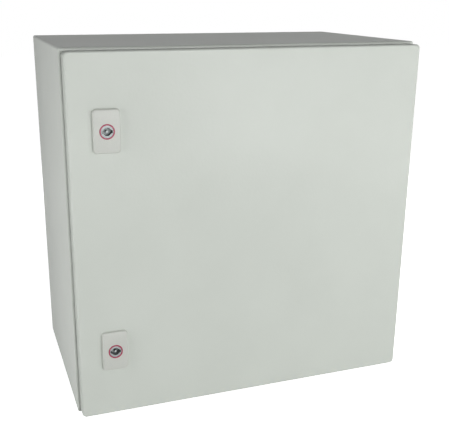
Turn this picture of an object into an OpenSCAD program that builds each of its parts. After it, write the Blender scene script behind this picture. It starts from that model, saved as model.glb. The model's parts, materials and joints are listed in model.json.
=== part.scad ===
// Compact steel wall enclosure with one door, two cam locks and two hidden hinges.
// Frame: X across the front, Y from front to back, Z up.
// The origin lies on the underside, in the middle of the overall width and depth.

/* [Body] */
// Width of the enclosure
body_w = 500; // [400:10:700]
// Height of the enclosure
body_h = 500; // [400:10:800]
// Depth from the rear face to the front of the door
body_d = 300; // [200:10:400]
// Sheet thickness of the body
body_t = 1.5; // [1.2:0.1:2]
// Outside radius of every bend in the body
body_bend_r = 3; // [2.5:0.5:4]

/* [Front rim] */
// Width of the rim, from the side of the body to the clear opening
rim_w = 22; // [20:1:30]
// How far the lip stands forward from the rim
lip_d = 12; // [10:0.5:14]
// Corner radius of the clear opening
opening_r = 12; // [8:1:20]

/* [Door] */
// Sheet thickness of the door
door_t = 2; // [1.5:0.1:2]
// How far the edges of the door lie in from the sides of the body
door_inset = 3; // [3:0.5:6]
// Depth of the folded edge of the door
door_fold_d = 19; // [17:0.5:22]
// Gap between the folded edge and the rim
door_gap = 3; // [2:0.5:4]
// Outside radius of the bend along the edge of the door
door_bend_r = 3; // [2.5:0.5:4]
// Corner radius of the door, seen from the front
door_corner_r = 6; // [4.5:0.5:8]

/* [Door seal] */
// Width of the foam seal
seal_w = 12; // [10:1:14]
// Clearance between the relaxed seal and the lip
seal_clear = 0.3; // [0.2:0.1:0.5]

/* [Hinges] */
// Height of one hinge
hinge_h = 50; // [40:2:80]
// Distance from the top or the underside of the body to the middle of a hinge
hinge_inset_z = 80; // [60:5:110]
// Distance from the side of the body to the hinge axis
hinge_axis_x = 7; // [6.5:0.5:7.5]
// Distance from the rim forward to the hinge axis
hinge_axis_y = 12; // [12:0.5:12.5]
// Radius of a hinge knuckle
knuckle_r = 4; // [3.5:0.1:4]
// Radius of a hinge pin
hinge_pin_r = 2; // [1.5:0.1:2.2]
// Thickness of a hinge leaf
leaf_t = 2; // [1.5:0.1:2]

/* [Locks] */
// Distance from the side of the body to the lock axis
lock_inset_x = 51; // [48:1:60]
// Distance from the top or the underside of the body to a lock axis
lock_inset_z = 100; // [80:5:130]
// Width of an escutcheon
escutcheon_w = 35; // [32:1:40]
// Height of an escutcheon
escutcheon_h = 56; // [50:1:64]
// Thickness of an escutcheon
escutcheon_t = 5.6; // [5.2:0.2:7]
// Corner radius of an escutcheon
escutcheon_r = 5; // [4:0.5:6]
// Outside radius of the signal ring round the insert
ring_r = 9.65; // [9.4:0.05:10.5]
// How far the signal ring stands out of the escutcheon
ring_proud = 0.4; // [0.2:0.1:0.8]
// Radius of the turning insert
insert_r = 7.92; // [7.6:0.02:8]
// Half the width of the key slot, across its two wings
key_wing = 7; // [6:0.1:7.2]
// Radius of the round part of the key slot
key_r = 5.3; // [4.8:0.1:5.5]
// Radius of the centre pin of the key slot
key_pin_r = 1.5; // [1.2:0.1:2]
// Radius of the threaded barrel behind the door
barrel_r = 11; // [10.5:0.1:12]
// Length of a cam from the lock axis to its tip
cam_reach = 42; // [38:1:45]
// Width of a cam
cam_w = 17; // [14:1:18]
// Thickness of a cam
cam_t = 3; // [2.5:0.1:4]
// Clearance between a closed cam and the back of the rim
cam_clear = 0.5; // [0.3:0.1:1]

/* [Mounting plate] */
// Distance from the side of the body to the side of the mounting plate
plate_margin_x = 25.5; // [20:0.5:45]
// Distance from the top or the underside of the body to the edge of the mounting plate
plate_margin_z = 15; // [12:1:45]
// Thickness of the mounting plate
plate_t = 2.5; // [2:0.5:4]
// Distance from the rear wall to the mounting plate
plate_standoff = 14; // [10:1:30]
// Distance from the edges of the mounting plate to its fixing holes
plate_hole_inset = 15; // [13:1:25]

/* [Gland plate] */
// Width of the cable opening in the base
gland_open_w = 360; // [260:10:400]
// Depth of the cable opening in the base
gland_open_d = 160; // [80:10:180]
// How far the gland plate overlaps the edge of its opening
gland_overlap = 15; // [14:1:20]
// Thickness of the seal under the gland plate
gland_seal_t = 3; // [3:0.5:5]

/* [Wall fixing] */
// Radius of a wall fixing hole
wall_hole_r = 4.5; // [3.5:0.5:5.5]
// Distance from the side of the body to a wall fixing hole
wall_hole_inset_x = 15; // [14:1:20]
// Distance from the top or the underside of the body to a wall fixing hole
wall_hole_inset_z = 25; // [18:1:50]

/* [Door strips] */
// Distance from the hinge side of the body to the middle of its perforated strip
hinge_strip_inset = 52; // [50:1:80]
// Distance from the lock side of the body to the middle of its perforated strip
lock_strip_inset = 86; // [84:1:110]
// Width of a perforated strip
strip_w = 16; // [14:1:20]
// Height of a perforated strip off the door
strip_d = 10; // [8:1:11]
// Distance between the holes of a perforated strip
strip_pitch = 25; // [12.5:12.5:50]

/* [Hidden] */

$fn = 64;
// Cuts run this far past a face
cut = 1;
// Flats and bends of one sheet are drawn this far into each other
lap = 1;
// Radial running clearance of a turning part
running = 0.08;
// Radial play of a part that is only fitted
play = 0.15;

// Depth stations, from the front to the back
rear_y = (body_d + escutcheon_t + ring_proud) / 2;
door_y = rear_y - body_d;
door_back_y = door_y + door_t;
rim_y = door_y + door_fold_d + door_gap;
rim_back_y = rim_y + body_t;
wall_y = rear_y - body_t;
body_mid_y = (rim_y + rear_y) / 2;

// Door outline and its place
door_w = body_w - 2 * door_inset;
door_h = body_h - 2 * door_inset;
mid_z = body_h / 2;

// Lip round the clear opening
lip_w = body_w - 2 * (rim_w - body_t);
lip_h = body_h - 2 * (rim_w - body_t);
lip_r = opening_r + body_t;
lip_gutter_r = body_bend_r - body_t;

// Hinges
hinge_x = body_w / 2 - hinge_axis_x;
hinge_y = rim_y - hinge_axis_y;
hinge_mids = [hinge_inset_z, body_h - hinge_inset_z];
hinge_notch_clear = 1.5;
knuckle_gap = 0.3;
outer_knuckle_h = hinge_h * 0.32;
web_t = 3;
leaf_outer_x = body_w / 2 - body_bend_r - 1;
leaf_inner_x = lip_w / 2 + 1.5;
screw_r = 2.5;
screw_head_r = 4.5;
screw_head_h = 3.5;
screw_x = (leaf_inner_x + leaf_outer_x) / 2 - 2;
screw_span = hinge_h * 0.3;

// Locks
lock_x = -body_w / 2 + lock_inset_x;
lower_lock_z = lock_inset_z;
upper_lock_z = body_h - lock_inset_z;
insert_bore_r = insert_r + running;
gasket_t = 0.8;
head_r = barrel_r + 1.6;
head_top = escutcheon_t - 2;
nose_top = head_top + 0.6;
barrel_flat = barrel_r - 1;
neck_r = insert_r - 1.9;
neck_bore_r = neck_r + running;
shoulder_d = 9;
cam_y = rim_back_y + cam_clear;
housing_back_y = cam_y - 2;
slot_depth = 9;
wing_root_x = key_r * 0.8;
wing_root_h = 2.7;
wing_tip_h = 1.6;
cam_square = 8;
cam_hub_r = 11;
cam_washer_t = 1.2;
cam_screw_r = 2.5;
cam_screw_depth = 10;

// Studs and nuts: thread radius, nut across the flats, nut height
m8 = [4, 13, 6.5];
m6 = [3, 10, 5];
m8_washer = [8, 1.6];
collar_r = 7;
plate_w = body_w - 2 * plate_margin_x;
plate_h = body_h - 2 * plate_margin_z;
plate_y = wall_y - plate_standoff - plate_t;
stud_tail = 12;
gland_studs_across = 4;

// Earth studs
earth_stud_h = 18;
body_earth_inset_x = 30;
body_earth_inset_y = 25;
body_earth_x = -body_w / 2 + body_earth_inset_x;
body_earth_y = rim_y + body_earth_inset_y;
door_earth_inset_x = 130;
door_earth_x = -body_w / 2 + door_earth_inset_x;
door_earth_z = 60;
door_earth_h = 15;

powder_coat = [0.84, 0.85, 0.83];
zinc = [0.78, 0.79, 0.80];
steel = [0.62, 0.63, 0.65];
foam = [0.12, 0.12, 0.12];
plastic = [0.86, 0.86, 0.84];
signal_red = [0.72, 0.10, 0.16];

// ---------- Shared shapes ----------

// A centred rounded rectangle made of arcs and straight edges
module rounded_rect(w, h, r) {
    square([w - 2 * r, h], center = true);
    square([w, h - 2 * r], center = true);
    for (sx = [-1, 1], sz = [-1, 1]) {
        translate([sx * (w / 2 - r), sz * (h / 2 - r)]) circle(r);
    }
}

// A plane drawing (across, up) given a depth along Y, from y0 backwards
module along_y(y0, depth) {
    translate([0, y0 + depth, 0]) rotate([90, 0, 0]) linear_extrude(depth) children();
}

// The same, for a drawing centred on the middle of the front
module on_front(y0, depth) {
    translate([0, 0, mid_z]) along_y(y0, depth) children();
}

// A round bar along Y
module rod_y(x, z, y0, depth, r) {
    translate([x, y0 + depth, z]) rotate([90, 0, 0]) cylinder(h = depth, r = r);
}

// A hexagon bar along Y, given across its flats
module hex_y(x, z, y0, depth, flats) {
    translate([x, y0 + depth, z]) rotate([90, 0, 0]) cylinder(h = depth, r = flats / sqrt(3), $fn = 6);
}

// A hexagon nut on a stud along Z
module nut_z(size, base_z) {
    translate([0, 0, base_z]) difference() {
        cylinder(h = size[2], r = size[1] / sqrt(3), $fn = 6);
        translate([0, 0, -cut]) cylinder(h = size[2] + 2 * cut, r = size[0] + play);
    }
}

// One quarter of a bend, drawn about its centre. The signs choose the quarter.
module quarter_bend(outer_r, inner_r, su, sv) {
    intersection() {
        difference() {
            circle(outer_r);
            circle(inner_r);
        }
        translate([su > 0 ? 0 : -outer_r, sv > 0 ? 0 : -outer_r]) square(outer_r);
    }
}

// Section of a sheet that is folded back at a right angle: a land, the bend and the fold
module folded_edge(front_y, thick, bend_r, land, fold_d) {
    if (land > 0) translate([bend_r, front_y]) square([land, thick]);
    translate([bend_r, front_y + bend_r]) quarter_bend(bend_r, bend_r - thick, -1, -1);
    translate([0, front_y + bend_r]) square([thick, fold_d - bend_r]);
}

// Runs a profile round a rounded rectangle. The profile is drawn as inward distance and depth.
module frame_sweep(w, h, r) {
    translate([0, 0, mid_z]) {
        for (k = [0:3]) {
            upright = k % 2 == 0;
            run = upright ? h : w;
            reach = upright ? w : h;
            rotate([0, 90 * k, 0])
                translate([-reach / 2, 0, r - run / 2])
                    linear_extrude(run - 2 * r) children();
            sx = (k == 0 || k == 3) ? 1 : -1;
            sz = k < 2 ? -1 : 1;
            translate([sx * (w / 2 - r), 0, sz * (h / 2 - r)])
                rotate([0, 90 * k, 0])
                    rotate([-90, 0, 0])
                        rotate_extrude(angle = 90) translate([r, 0]) mirror([1, 0]) children();
        }
    }
}

// ---------- Body ----------

// Sides, top and base in one folded strip, with the bend that leads into the rim
module body_wrap() color(powder_coat) {
    difference() {
        frame_sweep(body_w, body_h, body_bend_r)
            folded_edge(rim_y, body_t, body_bend_r, 0, rear_y - rim_y);
        // Cable opening in the base
        translate([-gland_open_w / 2, body_mid_y - gland_open_d / 2, -cut])
            cube([gland_open_w, gland_open_d, body_t + 2 * cut]);
    }
}

// Flat of the rim, the bend round the clear opening and the lip
module front_rim() color(powder_coat) {
    flat_hole_x = lip_w / 2 + lip_gutter_r + lap / 2;
    flat_hole_z = lip_h / 2 + lip_gutter_r + lap / 2;
    difference() {
        union() {
            on_front(rim_y, body_t) difference() {
                square([body_w - 2 * body_bend_r, body_h - 2 * body_bend_r], center = true);
                rounded_rect(2 * flat_hole_x, 2 * flat_hole_z, lip_r + lip_gutter_r + lap / 2);
            }
            frame_sweep(lip_w, lip_h, lip_r) {
                translate([-lip_gutter_r - lap, rim_y]) square([lap, body_t]);
                translate([-lip_gutter_r, rim_y - lip_gutter_r])
                    quarter_bend(lip_gutter_r + body_t, lip_gutter_r, 1, 1);
                translate([0, rim_y - lip_d]) square([body_t, lip_d - lip_gutter_r]);
            }
        }
        // Holes for the hinge screws
        for (hinge_z = hinge_mids, side = [-1, 1]) {
            rod_y(screw_x, hinge_z + side * screw_span, rim_y - cut, body_t + 2 * cut, screw_r + play);
        }
    }
}

module rear_panel() color(powder_coat) {
    difference() {
        on_front(wall_y, body_t)
            rounded_rect(body_w - 2 * body_t, body_h - 2 * body_t, body_bend_r - body_t);
        for (sx = [-1, 1], hole_z = [wall_hole_inset_z, body_h - wall_hole_inset_z]) {
            hole_x = sx * (body_w / 2 - wall_hole_inset_x);
            rod_y(hole_x, hole_z, wall_y - cut, body_t + 2 * cut, wall_hole_r);
        }
    }
}

// ---------- Mounting plate ----------

module at_plate_fixings() {
    for (sx = [-1, 1], sz = [-1, 1]) {
        translate([sx * (plate_w / 2 - plate_hole_inset), 0, mid_z + sz * (plate_h / 2 - plate_hole_inset)])
            children();
    }
}

module plate_studs() color(steel) {
    at_plate_fixings() {
        rod_y(0, 0, plate_y + plate_t, plate_standoff, collar_r);
        rod_y(0, 0, plate_y - stud_tail, stud_tail + plate_t + 1, m8[0]);
    }
}

module mounting_plate() color(zinc) {
    difference() {
        on_front(plate_y, plate_t) rounded_rect(plate_w, plate_h, 4);
        at_plate_fixings() rod_y(0, 0, plate_y - cut, plate_t + 2 * cut, m8[0] + 0.5);
    }
}

module plate_washers() color(zinc) {
    at_plate_fixings() difference() {
        rod_y(0, 0, plate_y - m8_washer[1], m8_washer[1], m8_washer[0]);
        rod_y(0, 0, plate_y - m8_washer[1] - cut, m8_washer[1] + 2 * cut, m8[0] + 0.2);
    }
}

module plate_nuts() color(zinc) {
    nut_y = plate_y - m8_washer[1] - m8[2];
    at_plate_fixings() difference() {
        hex_y(0, 0, nut_y, m8[2], m8[1]);
        rod_y(0, 0, nut_y - cut, m8[2] + 2 * cut, m8[0] + play);
    }
}

// ---------- Gland plate in the base ----------

gland_plate_z = body_t + gland_seal_t;

module gland_outline(grow) {
    translate([0, body_mid_y]) rounded_rect(gland_open_w + 2 * grow, gland_open_d + 2 * grow, 6);
}

module at_gland_studs() {
    stud_x = gland_open_w / 2 + gland_overlap / 2;
    stud_y = gland_open_d / 2 + gland_overlap / 2;
    for (i = [0:gland_studs_across - 1], sy = [-1, 1]) {
        translate([stud_x * (2 * i / (gland_studs_across - 1) - 1), body_mid_y + sy * stud_y, 0])
            children();
    }
}

module gland_seal() color(foam) {
    translate([0, 0, body_t]) linear_extrude(gland_seal_t) difference() {
        gland_outline(gland_overlap - 1);
        gland_outline(1);
        at_gland_studs() circle(m6[0] + 0.3);
    }
}

module gland_plate() color(powder_coat) {
    translate([0, 0, gland_plate_z]) linear_extrude(body_t) difference() {
        gland_outline(gland_overlap);
        at_gland_studs() circle(m6[0] + 0.4);
    }
}

module gland_studs() color(steel) {
    at_gland_studs() translate([0, 0, body_t]) cylinder(h = gland_seal_t + body_t + 9, r = m6[0]);
}

module gland_nuts() color(zinc) {
    at_gland_studs() nut_z(m6, gland_plate_z + body_t);
}

// ---------- Earth studs ----------

module body_earth_stud() color(steel) {
    translate([body_earth_x, body_earth_y, body_t]) cylinder(h = earth_stud_h, r = m8[0]);
}

module body_earth_nut() color(zinc) {
    translate([body_earth_x, body_earth_y, 0]) {
        difference() {
            translate([0, 0, body_t]) cylinder(h = m8_washer[1], r = m8_washer[0]);
            translate([0, 0, body_t - cut]) cylinder(h = m8_washer[1] + 2 * cut, r = m8[0] + play);
        }
        nut_z(m8, body_t + m8_washer[1]);
    }
}

module door_earth_stud() color(steel) {
    rod_y(door_earth_x, door_earth_z, door_back_y, door_earth_h, m8[0]);
}

module door_earth_nut() color(zinc) {
    difference() {
        union() {
            rod_y(door_earth_x, door_earth_z, door_back_y, m8_washer[1], m8_washer[0]);
            hex_y(door_earth_x, door_earth_z, door_back_y + m8_washer[1], m8[2], m8[1]);
        }
        rod_y(door_earth_x, door_earth_z, door_back_y - cut, door_earth_h, m8[0] + play);
    }
}

// ---------- Hinges ----------

// A stretch of a leaf's section along Z
module hinge_span(z0, z1) {
    translate([0, 0, z0]) linear_extrude(z1 - z0) children();
}

// Round knuckle and its web, seen from above. The web runs to y_end.
module knuckle_section(y_end) {
    translate([hinge_x, hinge_y]) circle(knuckle_r);
    translate([hinge_x - web_t / 2, min(hinge_y, y_end)]) square([web_t, abs(y_end - hinge_y)]);
}

module hinge_body_leaf(hinge_z) color(zinc) {
    bottom = hinge_z - hinge_h / 2;
    difference() {
        union() {
            translate([leaf_inner_x, rim_y - leaf_t, bottom])
                cube([leaf_outer_x - leaf_inner_x, leaf_t, hinge_h]);
            hinge_span(bottom, bottom + outer_knuckle_h) knuckle_section(rim_y - leaf_t / 2);
            hinge_span(bottom + hinge_h - outer_knuckle_h, bottom + hinge_h)
                knuckle_section(rim_y - leaf_t / 2);
        }
        translate([hinge_x, hinge_y, bottom - cut]) cylinder(h = hinge_h + 2 * cut, r = hinge_pin_r + 0.02);
        for (side = [-1, 1]) {
            rod_y(screw_x, hinge_z + side * screw_span, rim_y - leaf_t - cut, leaf_t + 2 * cut, screw_r);
        }
    }
}

module hinge_door_leaf(hinge_z) color(zinc) {
    half = hinge_h / 2 - outer_knuckle_h - knuckle_gap;
    base_x = body_w / 2 - rim_w + seal_w / 2 + body_t / 2 + 1;
    base_end_x = body_w / 2 - door_inset - door_t - 1.2;
    difference() {
        hinge_span(hinge_z - half, hinge_z + half) {
            knuckle_section(door_back_y + leaf_t / 2);
            translate([base_x, door_back_y]) square([base_end_x - base_x, leaf_t]);
        }
        translate([hinge_x, hinge_y, hinge_z - half - cut])
            cylinder(h = 2 * (half + cut), r = hinge_pin_r + running);
    }
}

module hinge_pins() color(steel) {
    for (hinge_z = hinge_mids) {
        translate([hinge_x, hinge_y, hinge_z - hinge_h / 2]) cylinder(h = hinge_h, r = hinge_pin_r);
        translate([hinge_x, hinge_y, hinge_z + hinge_h / 2]) cylinder(h = 1.2, r = hinge_pin_r + 1);
    }
}

module hinge_screws() color(zinc) {
    for (hinge_z = hinge_mids, side = [-1, 1]) {
        screw_z = hinge_z + side * screw_span;
        rod_y(screw_x, screw_z, rim_y - leaf_t, leaf_t + body_t, screw_r);
        rod_y(screw_x, screw_z, rim_back_y, screw_head_h, screw_head_r);
    }
}

// ---------- Door ----------

module lock_hole() {
    intersection() {
        circle(barrel_r + play);
        square([2 * (barrel_flat + play), 2 * barrel_r + cut], center = true);
    }
}

module door_panel() color(powder_coat) {
    land = door_corner_r - door_bend_r;
    difference() {
        union() {
            // Front sheet, which laps half of the land inside the bend
            on_front(door_y, door_t)
                square([door_w - 2 * door_bend_r - land, door_h - 2 * door_bend_r - land], center = true);
            frame_sweep(door_w, door_h, door_corner_r)
                folded_edge(door_y, door_t, door_bend_r, land, door_fold_d);
        }
        for (lock_z = [lower_lock_z, upper_lock_z]) {
            translate([lock_x, 0, lock_z]) along_y(door_y - cut, door_t + 2 * cut) lock_hole();
        }
        // The folded edge is cut away where a knuckle stands
        for (hinge_z = hinge_mids) {
            notch_h = hinge_h + 2 * hinge_notch_clear;
            notch_y = door_y + door_bend_r + 0.5;
            translate([door_w / 2 - door_t - cut, notch_y, hinge_z - notch_h / 2])
                cube([door_t + 2 * cut, door_fold_d, notch_h]);
        }
    }
}

module door_seal() color(foam) {
    seal_h = rim_y - lip_d - seal_clear - door_back_y;
    round_r = seal_w / 2;
    frame_sweep(lip_w - body_t + seal_w, lip_h - body_t + seal_w, lip_r - body_t / 2 + round_r) {
        translate([0, door_back_y]) square([seal_w, seal_h - round_r]);
        intersection() {
            translate([round_r, door_back_y + seal_h - round_r]) circle(round_r);
            translate([0, door_back_y + seal_h - round_r]) square([seal_w, round_r]);
        }
    }
}

// A channel that stands on the back of the door, with a row of holes
module perforated_strip(x) color(zinc) {
    strip_h = door_h - 2 * (lip_r + rim_w);
    holes = floor((strip_h - strip_pitch) / strip_pitch);
    face_y = door_back_y + strip_d - body_t;
    difference() {
        translate([x - strip_w / 2, door_back_y, mid_z - strip_h / 2]) difference() {
            cube([strip_w, strip_d, strip_h]);
            translate([body_t, -cut, -cut])
                cube([strip_w - 2 * body_t, strip_d - body_t + cut, strip_h + 2 * cut]);
        }
        for (i = [0:holes]) {
            rod_y(x, mid_z + (i - holes / 2) * strip_pitch, face_y - cut, body_t + 2 * cut, 2.25);
        }
    }
}

module hinge_side_strip() {
    perforated_strip(body_w / 2 - hinge_strip_inset);
}

module lock_side_strip() {
    perforated_strip(-body_w / 2 + lock_strip_inset);
}

// ---------- Locks. Each piece is drawn about the lock axis, from the front of the door. ----------

module at_lock(lock_z) {
    translate([lock_x, 0, lock_z]) children();
}

// One rounded corner post of the escutcheon, standing forward by tall
module escutcheon_post(x, z, r, tall, edge) {
    translate([x, door_y, z]) rotate([90, 0, 0]) rotate_extrude($fn = 32) {
        square([r, tall - edge]);
        square([r - edge, tall]);
        translate([r - edge, tall - edge]) intersection() {
            circle(edge, $fn = 24);
            square(edge);
        }
    }
}

// Crowned cover: full height in the middle, lower towards the top and the bottom
module escutcheon(lock_z) color(plastic) {
    edge = 1.6;
    shoulder = 7;
    drop = 1.4;
    post_x = escutcheon_w / 2 - escutcheon_r;
    at_lock(lock_z) difference() {
        hull() {
            for (sx = [-1, 1], sz = [-1, 1]) {
                escutcheon_post(sx * post_x, sz * (escutcheon_h / 2 - escutcheon_r),
                    escutcheon_r, escutcheon_t - drop, edge);
                escutcheon_post(sx * post_x, sz * (escutcheon_h / 2 - escutcheon_r - shoulder),
                    escutcheon_r, escutcheon_t, edge);
            }
        }
        rod_y(0, 0, door_y - escutcheon_t - cut, escutcheon_t + 2 * cut, ring_r + 0.1);
        rod_y(0, 0, door_y - head_top - 0.2, head_top + 0.2 + cut, head_r + 0.2);
    }
}

module signal_ring(lock_z) color(signal_red) {
    front = escutcheon_t + ring_proud;
    at_lock(lock_z) difference() {
        rod_y(0, 0, door_y - front, front - nose_top, ring_r);
        rod_y(0, 0, door_y - front - cut, front - nose_top + 2 * cut, insert_bore_r + 0.1);
    }
}

module lock_housing(lock_z) color(zinc) {
    barrel_y = door_y - gasket_t - lap;
    at_lock(lock_z) difference() {
        union() {
            rod_y(0, 0, door_y - nose_top, nose_top - head_top + lap, ring_r - 0.05);
            rod_y(0, 0, door_y - head_top, head_top - gasket_t, head_r);
            along_y(barrel_y, housing_back_y - barrel_y) intersection() {
                circle(barrel_r);
                square([2 * barrel_flat, 2 * barrel_r + cut], center = true);
            }
        }
        rod_y(0, 0, door_y - nose_top - cut, nose_top + shoulder_d + cut, insert_bore_r);
        rod_y(0, 0, door_y, housing_back_y - door_y + cut, neck_bore_r);
    }
}

module lock_gasket(lock_z) color(foam) {
    at_lock(lock_z) difference() {
        rod_y(0, 0, door_y - gasket_t, gasket_t, head_r);
        rod_y(0, 0, door_y - gasket_t - cut, gasket_t + 2 * cut, barrel_r + play);
    }
}

module lock_nut(lock_z) color(zinc) {
    nut_h = 5;
    at_lock(lock_z) difference() {
        hex_y(0, 0, door_back_y, nut_h, 2 * barrel_r + 5);
        rod_y(0, 0, door_back_y - cut, nut_h + 2 * cut, barrel_r + 0.05);
    }
}

// Key slot: a round hole with two tapered wings
module key_slot() {
    circle(key_r);
    polygon([
        [-key_wing, -wing_tip_h], [-wing_root_x, -wing_root_h],
        [wing_root_x, -wing_root_h], [key_wing, -wing_tip_h],
        [key_wing, wing_tip_h], [wing_root_x, wing_root_h],
        [-wing_root_x, wing_root_h], [-key_wing, wing_tip_h]
    ]);
}

module lock_insert(lock_z) color(zinc) {
    front = escutcheon_t;
    at_lock(lock_z) {
        difference() {
            union() {
                rod_y(0, 0, door_y - front, front + shoulder_d - 0.1, insert_r);
                rod_y(0, 0, door_y, cam_y - door_y, neck_r);
                translate([-cam_square / 2, cam_y - cut, -cam_square / 2])
                    cube([cam_square, cam_t - 0.1 + cut, cam_square]);
            }
            along_y(door_y - front - cut, slot_depth + cut) key_slot();
            rod_y(0, 0, cam_y + cam_t - cam_screw_depth, cam_screw_depth + cut, cam_screw_r);
        }
        rod_y(0, 0, door_y - front + 1, slot_depth, key_pin_r);
    }
}

module cam(lock_z) color(zinc) {
    tip_r = 4;
    hole = cam_square + 0.1;
    at_lock(lock_z) along_y(cam_y, cam_t) difference() {
        union() {
            circle(cam_hub_r);
            translate([-cam_w / 2, tip_r - cam_reach]) square([cam_w, cam_reach - tip_r]);
            translate([tip_r - cam_w / 2, -cam_reach]) square([cam_w - 2 * tip_r, tip_r]);
            for (sx = [-1, 1]) {
                translate([sx * (cam_w / 2 - tip_r), tip_r - cam_reach]) circle(tip_r);
            }
        }
        square(hole, center = true);
    }
}

module cam_washer(lock_z) color(zinc) {
    at_lock(lock_z) difference() {
        rod_y(0, 0, cam_y + cam_t, cam_washer_t, 8);
        rod_y(0, 0, cam_y + cam_t - cut, cam_washer_t + 2 * cut, cam_screw_r + 0.3);
    }
}

module cam_screw(lock_z) color(steel) {
    head_y = cam_y + cam_t + cam_washer_t;
    at_lock(lock_z) {
        rod_y(0, 0, cam_y + cam_t - cam_screw_depth + 1, cam_screw_depth - 1 + cam_washer_t, cam_screw_r);
        hex_y(0, 0, head_y, 4, 10);
    }
}

body_wrap();
front_rim();
rear_panel();
plate_studs();
mounting_plate();
plate_washers();
plate_nuts();
gland_seal();
gland_plate();
gland_studs();
gland_nuts();
body_earth_stud();
body_earth_nut();
hinge_body_leaf(hinge_mids[1]);  // upper_hinge_body_leaf
hinge_body_leaf(hinge_mids[0]);  // lower_hinge_body_leaf
hinge_pins();
hinge_screws();
door_panel();
door_seal();
hinge_side_strip();
lock_side_strip();
hinge_door_leaf(hinge_mids[1]);  // upper_hinge_door_leaf
hinge_door_leaf(hinge_mids[0]);  // lower_hinge_door_leaf
door_earth_stud();
door_earth_nut();
escutcheon(upper_lock_z);  // upper_escutcheon
signal_ring(upper_lock_z);  // upper_signal_ring
lock_housing(upper_lock_z);  // upper_lock_housing
lock_gasket(upper_lock_z);  // upper_lock_gasket
lock_nut(upper_lock_z);  // upper_lock_nut
lock_insert(upper_lock_z);  // upper_lock_insert
cam(upper_lock_z);  // upper_cam
cam_washer(upper_lock_z);  // upper_cam_washer
cam_screw(upper_lock_z);  // upper_cam_screw
escutcheon(lower_lock_z);  // lower_escutcheon
signal_ring(lower_lock_z);  // lower_signal_ring
lock_housing(lower_lock_z);  // lower_lock_housing
lock_gasket(lower_lock_z);  // lower_lock_gasket
lock_nut(lower_lock_z);  // lower_lock_nut
lock_insert(lower_lock_z);  // lower_lock_insert
cam(lower_lock_z);  // lower_cam
cam_washer(lower_lock_z);  // lower_cam_washer
cam_screw(lower_lock_z);  // lower_cam_screw
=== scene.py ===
"""Steel wall enclosure: finishes, moulded lock covers, studio light and camera.

Everything is in metres in the frame of the construction: X across the front, Y from front
to back, Z up, with the origin on the underside.
"""
import json
import math

import bpy
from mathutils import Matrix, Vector


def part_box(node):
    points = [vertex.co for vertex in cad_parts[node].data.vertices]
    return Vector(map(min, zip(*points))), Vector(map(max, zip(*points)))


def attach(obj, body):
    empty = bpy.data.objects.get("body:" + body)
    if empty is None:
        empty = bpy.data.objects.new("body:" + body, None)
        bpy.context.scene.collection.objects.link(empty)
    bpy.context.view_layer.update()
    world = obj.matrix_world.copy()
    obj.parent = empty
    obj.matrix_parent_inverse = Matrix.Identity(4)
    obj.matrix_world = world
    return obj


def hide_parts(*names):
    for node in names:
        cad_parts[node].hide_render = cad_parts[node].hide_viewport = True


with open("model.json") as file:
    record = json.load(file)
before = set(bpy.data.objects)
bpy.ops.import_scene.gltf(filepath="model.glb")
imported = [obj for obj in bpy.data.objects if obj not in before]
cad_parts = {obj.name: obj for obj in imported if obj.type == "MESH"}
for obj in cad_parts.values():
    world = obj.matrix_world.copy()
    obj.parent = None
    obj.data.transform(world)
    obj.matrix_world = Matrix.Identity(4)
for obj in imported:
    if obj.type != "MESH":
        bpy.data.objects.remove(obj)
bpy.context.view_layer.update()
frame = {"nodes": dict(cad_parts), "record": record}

MM = 0.001


# ---------- Small tools ----------

def linear(code):
    """An sRGB hex colour as linear RGBA."""
    channels = [int(code[i:i + 2], 16) / 255 for i in (1, 3, 5)]
    return [c / 12.92 if c <= 0.04045 else ((c + 0.055) / 1.055) ** 2.4 for c in channels] + [1.0]


def per_metre(size_mm):
    """The scale of a pattern whose features are size_mm across."""
    return 1 / (size_mm * MM)


def add_node(tree, kind, settings=None, links=None):
    """Adds a node, sets its properties, sockets or colour stops, and links its inputs."""
    node = tree.nodes.new(kind)
    for name, value in (settings or {}).items():
        if name == "stops":
            for element, (position, code) in zip(node.color_ramp.elements, value):
                element.position = position
                element.color = linear(code)
        elif hasattr(node, name):
            setattr(node, name, value)
        else:
            node.inputs[name].default_value = value
    for name, source in (links or {}).items():
        tree.links.new(source, node.inputs[name])
    return node


def new_material(name, settings):
    """A material with one shader, and the coordinates that its patterns use."""
    material = bpy.data.materials.new(name)
    material.use_nodes = True
    tree = material.node_tree
    tree.nodes.clear()
    shader = add_node(tree, "ShaderNodeBsdfPrincipled", settings)
    add_node(tree, "ShaderNodeOutputMaterial", links={"Surface": shader.outputs[0]})
    place = add_node(tree, "ShaderNodeTexCoord").outputs["Object"]
    return material, tree, shader, place


def feed_shader(tree, shader, tone, gloss=None, relief=None):
    """Links the colour of a material and, where it has them, its roughness and its relief."""
    tree.links.new(tone.outputs["Color"], shader.inputs["Base Color"])
    if gloss:
        tree.links.new(gloss.outputs["Result"], shader.inputs["Roughness"])
    if relief:
        tree.links.new(relief.outputs["Normal"], shader.inputs["Normal"])


def select_only(piece):
    """Makes one object the active one and the only one that is selected."""
    if bpy.context.mode != "OBJECT":
        bpy.ops.object.mode_set(mode="OBJECT")
    bpy.ops.object.select_all(action="DESELECT")
    piece.select_set(True)
    bpy.context.view_layer.objects.active = piece


def pick(piece, kind, test):
    """Leaves the piece in edit mode with the vertices, edges or faces selected that pass a test."""
    bpy.ops.object.mode_set(mode="EDIT")
    bpy.ops.mesh.select_mode(type=kind)
    bpy.ops.mesh.select_all(action="DESELECT")
    bpy.ops.object.mode_set(mode="OBJECT")
    mesh = piece.data
    for part in {"VERT": mesh.vertices, "EDGE": mesh.edges, "FACE": mesh.polygons}[kind]:
        part.select = test(part)
    bpy.ops.object.mode_set(mode="EDIT")


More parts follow.
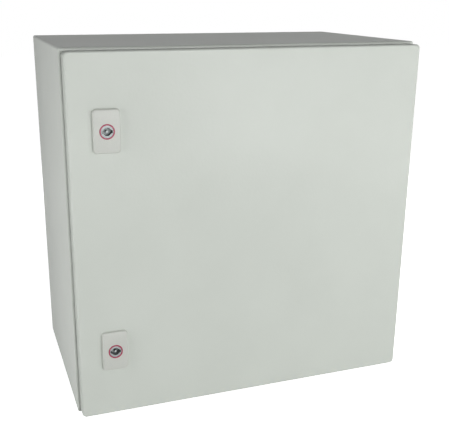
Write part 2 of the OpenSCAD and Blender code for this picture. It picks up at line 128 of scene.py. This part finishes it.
def apply_modifier(piece, kind, **settings):
    """Adds a modifier, sets it and applies it."""
    select_only(piece)
    modifier = piece.modifiers.new(kind.title(), kind)
    for name, value in settings.items():
        setattr(modifier, name, value)
    bpy.ops.object.modifier_apply(modifier=modifier.name)


# ---------- Finishes ----------

def polyester_powder_coat():
    """Baked polyester powder on sheet steel: a matt pale grey under a thin levelled skin of resin.

    The matt body takes the light evenly, and the skin over it shows a lamp as a pale zone with a
    soft edge.
    """
    material, tree, shader, place = new_material(
        "polyester_powder_coat",
        {"Specular IOR Level": 0.1, "Coat Weight": 0.25, "Coat Roughness": 0.18, "Coat IOR": 1.75})
    # The film's thickness wanders over a hand's width, which shifts the tone a little
    film = add_node(tree, "ShaderNodeTexNoise", {"Scale": per_metre(90), "Detail": 2.0},
                    {"Vector": place})
    tone = add_node(tree, "ShaderNodeValToRGB", {"stops": [(0.3, "#C9CEC7"), (0.7, "#CCD1CA")]},
                    {"Fac": film.outputs["Fac"]})
    # Orange peel is about 1.5 mm across. It is drawn at 4 mm, so that it shows
    peel = add_node(tree, "ShaderNodeTexNoise",
                    {"Scale": per_metre(4), "Detail": 3.0, "Roughness": 0.55}, {"Vector": place})
    gloss = add_node(tree, "ShaderNodeMapRange", {"To Min": 0.62, "To Max": 0.74},
                     {"Value": peel.outputs["Fac"]})
    relief = add_node(tree, "ShaderNodeBump", {"Strength": 1.0, "Distance": 0.12 * MM},
                      {"Height": peel.outputs["Fac"]})
    feed_shader(tree, shader, tone, gloss, relief)
    tree.links.new(relief.outputs["Normal"], shader.inputs["Coat Normal"])
    return material


def galvanised_sheet():
    """Hot-dip galvanised steel: grey zinc crystals, each with its own tone and gloss."""
    material, tree, shader, place = new_material("galvanised_sheet", {"Metallic": 1.0})
    # Crystals of 9 mm, with ragged edges
    wander = add_node(tree, "ShaderNodeTexNoise", {"Scale": per_metre(5), "Detail": 2.0},
                      {"Vector": place})
    ragged = add_node(tree, "ShaderNodeVectorMath", {"operation": "MULTIPLY_ADD"},
                      {0: wander.outputs["Color"], 2: place})
    ragged.inputs[1].default_value = (4 * MM, 4 * MM, 4 * MM)
    crystals = add_node(tree, "ShaderNodeTexVoronoi", {"Scale": per_metre(9)},
                        {"Vector": ragged.outputs["Vector"]})
    tone = add_node(tree, "ShaderNodeValToRGB", {"stops": [(0.0, "#9DA1A3"), (1.0, "#B6B9BA")]},
                    {"Fac": crystals.outputs["Color"]})
    gloss = add_node(tree, "ShaderNodeMapRange", {"To Min": 0.5, "To Max": 0.66},
                     {"Value": crystals.outputs["Color"]})
    feed_shader(tree, shader, tone, gloss)
    return material


def zinc_plating():
    """Electroplated zinc, passivated: bright, with a faint blue and straw bloom."""
    material, tree, shader, place = new_material("zinc_plating", {"Metallic": 1.0})
    bloom = add_node(tree, "ShaderNodeTexNoise",
                     {"Scale": per_metre(12), "Detail": 3.0, "Distortion": 0.6}, {"Vector": place})
    tone = add_node(tree, "ShaderNodeValToRGB", {"stops": [(0.35, "#AFB6BD"), (0.65, "#BEBCB1")]},
                    {"Fac": bloom.outputs["Fac"]})
    # The pickled sheet under the plating has a grain of about 0.2 mm. It is drawn at 0.6 mm
    grain = add_node(tree, "ShaderNodeTexNoise", {"Scale": per_metre(0.6), "Detail": 2.0},
                     {"Vector": place})
    gloss = add_node(tree, "ShaderNodeMapRange", {"To Min": 0.26, "To Max": 0.38},
                     {"Value": grain.outputs["Fac"]})
    relief = add_node(tree, "ShaderNodeBump", {"Strength": 0.2, "Distance": 0.03 * MM},
                      {"Height": grain.outputs["Fac"]})
    feed_shader(tree, shader, tone, gloss, relief)
    return material


def copper_flashed_steel():
    """Drawn weld studs and pins: bright steel under a thin, patchy copper flash."""
    material, tree, shader, place = new_material("copper_flashed_steel", {"Metallic": 1.0})
    patches = add_node(tree, "ShaderNodeTexNoise", {"Scale": per_metre(4), "Detail": 3.0},
                       {"Vector": place})
    tone = add_node(tree, "ShaderNodeValToRGB", {"stops": [(0.35, "#A9A6A4"), (0.7, "#C09A82")]},
                    {"Fac": patches.outputs["Fac"]})
    gloss = add_node(tree, "ShaderNodeMapRange", {"To Min": 0.22, "To Max": 0.36},
                     {"Value": patches.outputs["Fac"]})
    feed_shader(tree, shader, tone, gloss)
    return material


def tumbled_zinc_casting():
    """Zinc die-casting, deburred in a tumbler: soft grey with a fine pitted grain."""
    material, tree, shader, place = new_material("tumbled_zinc_casting", {"Metallic": 1.0})
    skin = add_node(tree, "ShaderNodeTexNoise", {"Scale": per_metre(2.5), "Detail": 4.0},
                    {"Vector": place})
    tone = add_node(tree, "ShaderNodeValToRGB", {"stops": [(0.3, "#7D8283"), (0.7, "#969A9A")]},
                    {"Fac": skin.outputs["Fac"]})
    gloss = add_node(tree, "ShaderNodeMapRange", {"To Min": 0.5, "To Max": 0.62},
                     {"Value": skin.outputs["Fac"]})
    # The tumbling stones leave pits of about 0.3 mm. They are drawn at 0.5 mm
    pits = add_node(tree, "ShaderNodeTexVoronoi", {"Scale": per_metre(0.5)}, {"Vector": place})
    relief = add_node(tree, "ShaderNodeBump", {"Strength": 0.2, "Distance": 0.03 * MM},
                      {"Height": pits.outputs["Distance"]})
    feed_shader(tree, shader, tone, gloss, relief)
    return material


def moulded_polyamide(name, stops, roughest, smoothest, grain_mm):
    """Injection-moulded polyamide: even colour, and the fine spark grain of its mould.

    The grain is about 0.1 mm. It is drawn at grain_mm, so that it shows.
    """
    material, tree, shader, place = new_material(name, {"IOR": 1.53})
    grain = add_node(tree, "ShaderNodeTexNoise", {"Scale": per_metre(grain_mm), "Detail": 3.0},
                     {"Vector": place})
    tone = add_node(tree, "ShaderNodeValToRGB", {"stops": stops}, {"Fac": grain.outputs["Fac"]})
    gloss = add_node(tree, "ShaderNodeMapRange", {"To Min": smoothest, "To Max": roughest},
                     {"Value": grain.outputs["Fac"]})
    relief = add_node(tree, "ShaderNodeBump", {"Strength": 0.2, "Distance": 0.03 * MM},
                      {"Height": grain.outputs["Fac"]})
    feed_shader(tree, shader, tone, gloss, relief)
    return material


def foamed_polyurethane():
    """Foamed-in-place polyurethane: charcoal, matt, with open cells along its skin."""
    material, tree, shader, place = new_material(
        "foamed_polyurethane", {"Roughness": 0.9, "IOR": 1.4})
    # Cells are about 0.4 mm. They are drawn at 1.2 mm
    cells = add_node(tree, "ShaderNodeTexVoronoi", {"Scale": per_metre(1.2)}, {"Vector": place})
    tone = add_node(tree, "ShaderNodeValToRGB", {"stops": [(0.1, "#1B1B1C"), (0.6, "#3A3B3C")]},
                    {"Fac": cells.outputs["Distance"]})
    relief = add_node(tree, "ShaderNodeBump", {"Strength": 0.6, "Distance": 0.3 * MM},
                      {"Height": cells.outputs["Distance"]})
    feed_shader(tree, shader, tone, relief=relief)
    return material


FINISHES = {
    "powder_coat": polyester_powder_coat(),
    "galvanised": galvanised_sheet(),
    "zinc_plated": zinc_plating(),
    "bright_steel": copper_flashed_steel(),
    "die_cast": tumbled_zinc_casting(),
    "grey_plastic": moulded_polyamide(
        "grey_polyamide", [(0.3, "#BFC2BC"), (0.7, "#C6C8C2")], 0.5, 0.4, 1.0),
    "red_plastic": moulded_polyamide(
        "signal_red_polyamide", [(0.3, "#961A42"), (0.7, "#A4244C")], 0.4, 0.3, 1.5),
    "foam": foamed_polyurethane(),
}


def finish_frame_nodes():
    """Gives every node of the construction the finish of its material slot."""
    for subpart in frame["record"]["subparts"]:
        node = frame["nodes"][subpart["node"]]
        for slot in node.material_slots:
            slot.material = FINISHES[subpart["material_slot"]]


# ---------- Lock covers ----------

COVER_CORNER = 5 * MM
COVER_EDGE = 2.2 * MM
# The front is flat this far from the axis, then falls away to its top and bottom edges
COVER_FLAT = 13 * MM
COVER_FALL = 1.4 * MM
COVER_CUTS = 5
COVER_CORNER_STEPS = 10
COVER_EDGE_STEPS = 6
# Corners of the mesh closer than this to a plane lie on it
ON_PLANE = 0.01 * MM
SMOOTH_BELOW = math.radians(35)
DRILL_SIDES = 96
RING_PLAY = 0.1 * MM
HOUSING_PLAY = 0.2 * MM
POCKET_FLOOR = 1.8 * MM


def cut_round(piece, centre, radius, y_from, y_to):
    """Bores a round hole along Y."""
    bpy.ops.object.select_all(action="DESELECT")
    bpy.ops.mesh.primitive_cylinder_add(
        vertices=DRILL_SIDES, radius=radius, depth=y_to - y_from,
        location=(centre.x, (y_from + y_to) / 2, centre.z), rotation=(math.pi / 2, 0, 0))
    drill = bpy.context.object
    apply_modifier(piece, "BOOLEAN", object=drill, operation="DIFFERENCE", solver="EXACT")
    bpy.data.objects.remove(drill, do_unlink=True)


def lock_cover(side):
    """Moulded cover of one lock: rounded corners, a crowned front and an opening for its ring."""
    low, high = (Vector(corner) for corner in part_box(side + "_escutcheon"))
    ring_low, ring_high = (Vector(corner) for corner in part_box(side + "_signal_ring"))
    case_low, case_high = (Vector(corner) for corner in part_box(side + "_lock_gasket"))
    axis = (ring_low + ring_high) / 2
    size = high - low

    bpy.ops.object.select_all(action="DESELECT")
    bpy.ops.mesh.primitive_cube_add(size=1, location=(low + high) / 2, scale=size)
    cover = bpy.context.object
    cover.name = side + "_lock_cover"
    bpy.ops.object.transform_apply(location=True, rotation=True, scale=True)

    def runs_back(edge):
        ends = [cover.data.vertices[i].co for i in edge.vertices]
        return abs((ends[0] - ends[1]).y) > size.y / 2

    def on_front(vertex, height):
        return abs(vertex.co.y - low.y) < ON_PLANE and abs(vertex.co.z - height) < ON_PLANE

    pick(cover, "EDGE", runs_back)
    bpy.ops.mesh.bevel(offset=COVER_CORNER, segments=COVER_CORNER_STEPS)

    # Cross cuts above and below the axis, which then let the front fall away in a curve
    reach = size.z / 2 - COVER_FLAT
    for way in (-1, 1):
        for k in range(COVER_CUTS):
            bpy.ops.mesh.select_all(action="SELECT")
            height = axis.z + way * (COVER_FLAT + reach * k / COVER_CUTS)
            bpy.ops.mesh.bisect(plane_co=(0, 0, height), plane_no=(0, 0, 1))
    bpy.ops.object.mode_set(mode="OBJECT")
    front = [vertex for vertex in cover.data.vertices if vertex.co.y < low.y + ON_PLANE]
    for height in sorted({round(vertex.co.z, 6) for vertex in front}):
        beyond = max(0.0, abs(height - axis.z) - COVER_FLAT) / reach
        pick(cover, "VERT", lambda vertex: on_front(vertex, height))
        bpy.ops.transform.translate(value=(0, COVER_FALL * beyond ** 2, 0))

    # Soft edge all round the front
    pick(cover, "FACE", lambda face: face.normal.y < -0.9)
    bpy.ops.mesh.region_to_loop()
    bpy.ops.mesh.bevel(offset=COVER_EDGE, segments=COVER_EDGE_STEPS)
    bpy.ops.object.mode_set(mode="OBJECT")

    ring_radius = (ring_high.x - ring_low.x) / 2
    case_radius = (case_high.x - case_low.x) / 2
    cut_round(cover, axis, ring_radius + RING_PLAY, low.y - size.y, high.y + size.y)
    cut_round(cover, axis, case_radius + HOUSING_PLAY, low.y + POCKET_FLOOR, high.y + size.y)
    select_only(cover)
    bpy.ops.object.shade_smooth_by_angle(angle=SMOOTH_BELOW)
    cover.data.materials.append(FINISHES["grey_plastic"])
    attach(cover, "door")
    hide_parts(side + "_escutcheon")


# ---------- Studio ----------

# Each lamp: where it stands, what it is turned to, its width and height, and its power
LAMPS = {
    "key_softbox": ((0.55, -1.00, 0.29), (0.0, -0.15, 0.29), (0.80, 0.40), 2.1),
    "front_softbox": ((0.30, -2.20, 0.75), (0.0, -0.15, 0.30), (1.00, 0.40), 17.5),
    "low_front_softbox": ((0.30, -1.90, 0.20), (0.0, -0.15, 0.20), (1.20, 0.40), 2.4),
    "high_right_softbox": ((1.10, -1.30, 1.30), (0.0, 0.0, 0.25), (1.00, 1.00), 5.1),
    "left_softbox": ((-0.78, -0.27, 0.35), (-0.25, -0.05, 0.25), (0.45, 0.60), 2.2),
    "right_softbox": ((1.40, 0.30, 0.25), (0.25, 0.0, 0.25), (0.80, 0.45), 5.5),
    "back_softbox": ((0.45, 1.30, 0.25), (0.0, 0.15, 0.25), (0.80, 0.40), 5.5),
}
ROOM_LIGHT = 0.02
FLOOR_WIDTH = 12
# The floor lies this far under the base, so that the two don't share a plane
FLOOR_DROP = 0.2 * MM
# What the floor adds for the background rays, up to the near and from the far distance on
GLOW_NEAR, GLOW_FAR = 0.92, 1.0
NEAR, FAR = 0.5, 1.2


def add_lamp(name, place, target, size, power):
    """A rectangular softbox turned to a point."""
    light = bpy.data.lights.new(name, "AREA")
    light.shape = "RECTANGLE"
    light.size, light.size_y = size
    light.energy = power
    lamp = bpy.data.objects.new(name, light)
    lamp.location = place
    lamp.rotation_euler = (Vector(target) - Vector(place)).to_track_quat("-Z", "Y").to_euler()
    bpy.context.scene.collection.objects.link(lamp)


def background_rays(tree):
    """1 for the rays that show the white background: those of the camera, of gloss and of glass."""
    path = add_node(tree, "ShaderNodeLightPath")
    first = add_node(tree, "ShaderNodeMath", {"operation": "MAXIMUM"},
                     {0: path.outputs["Is Camera Ray"], 1: path.outputs["Is Glossy Ray"]})
    return add_node(tree, "ShaderNodeMath", {"operation": "MAXIMUM"},
                    {0: first.outputs[0], 1: path.outputs["Is Transmission Ray"]}).outputs[0]


def add_room():
    """White surroundings that light the object only a little."""
    world = bpy.data.worlds.new("white_room")
    world.use_nodes = True
    tree = world.node_tree
    tree.nodes.clear()
    dim = add_node(tree, "ShaderNodeBackground", {"Color": (1, 1, 1, 1), "Strength": ROOM_LIGHT})
    white = add_node(tree, "ShaderNodeBackground", {"Color": (1, 1, 1, 1), "Strength": 1.0})
    mix = add_node(tree, "ShaderNodeMixShader",
                   links={0: background_rays(tree), 1: dim.outputs[0], 2: white.outputs[0]})
    add_node(tree, "ShaderNodeOutputWorld", links={"Surface": mix.outputs[0]})
    bpy.context.scene.world = world


def add_floor():
    """A matt white sweep. It looks white from any side and still takes the object's shadow."""
    bpy.ops.object.select_all(action="DESELECT")
    bpy.ops.mesh.primitive_plane_add(size=FLOOR_WIDTH, location=(0, 0, -FLOOR_DROP))
    floor = bpy.context.object
    floor.name = "floor"
    material = bpy.data.materials.new("white_paper_sweep")
    material.use_nodes = True
    tree = material.node_tree
    tree.nodes.clear()
    paper = add_node(tree, "ShaderNodeBsdfDiffuse", {"Color": linear("#E8E8E8")})
    glow = add_node(tree, "ShaderNodeEmission", {"Color": (1, 1, 1, 1)})
    # White far off, and a little less near the object, where its shadow then shows
    place = add_node(tree, "ShaderNodeTexCoord").outputs["Object"]
    away = add_node(tree, "ShaderNodeVectorMath", {"operation": "LENGTH"}, {0: place})
    white = add_node(tree, "ShaderNodeMapRange",
                     {"From Min": NEAR, "From Max": FAR, "To Min": GLOW_NEAR, "To Max": GLOW_FAR},
                     {"Value": away.outputs["Value"]})
    level = add_node(tree, "ShaderNodeMath", {"operation": "MULTIPLY"},
                     {0: background_rays(tree), 1: white.outputs["Result"]})
    tree.links.new(level.outputs[0], glow.inputs["Strength"])
    both = add_node(tree, "ShaderNodeAddShader", links={0: paper.outputs[0], 1: glow.outputs[0]})
    add_node(tree, "ShaderNodeOutputMaterial", links={"Surface": both.outputs[0]})
    floor.data.materials.append(material)


def add_camera():
    """The viewpoint: in front, to the left and a little above the top of the enclosure."""
    data = bpy.data.cameras.new("camera")
    data.sensor_width = 36.0
    data.lens = 58.135
    data.shift_x = 0.0234
    data.shift_y = -0.0008
    camera = bpy.data.objects.new("camera", data)
    camera.location = (-0.3675, -1.0294, 0.5635)
    camera.rotation_euler = [math.radians(a) for a in (72.732, -0.285, -19.287)]
    bpy.context.scene.collection.objects.link(camera)
    bpy.context.scene.camera = camera


# ---------- The scene ----------

add_camera()
finish_frame_nodes()
for side in ("upper", "lower"):
    lock_cover(side)
add_floor()
add_room()
for name, settings in LAMPS.items():
    add_lamp(name, *settings)
bpy.context.scene.view_settings.view_transform = "Standard"
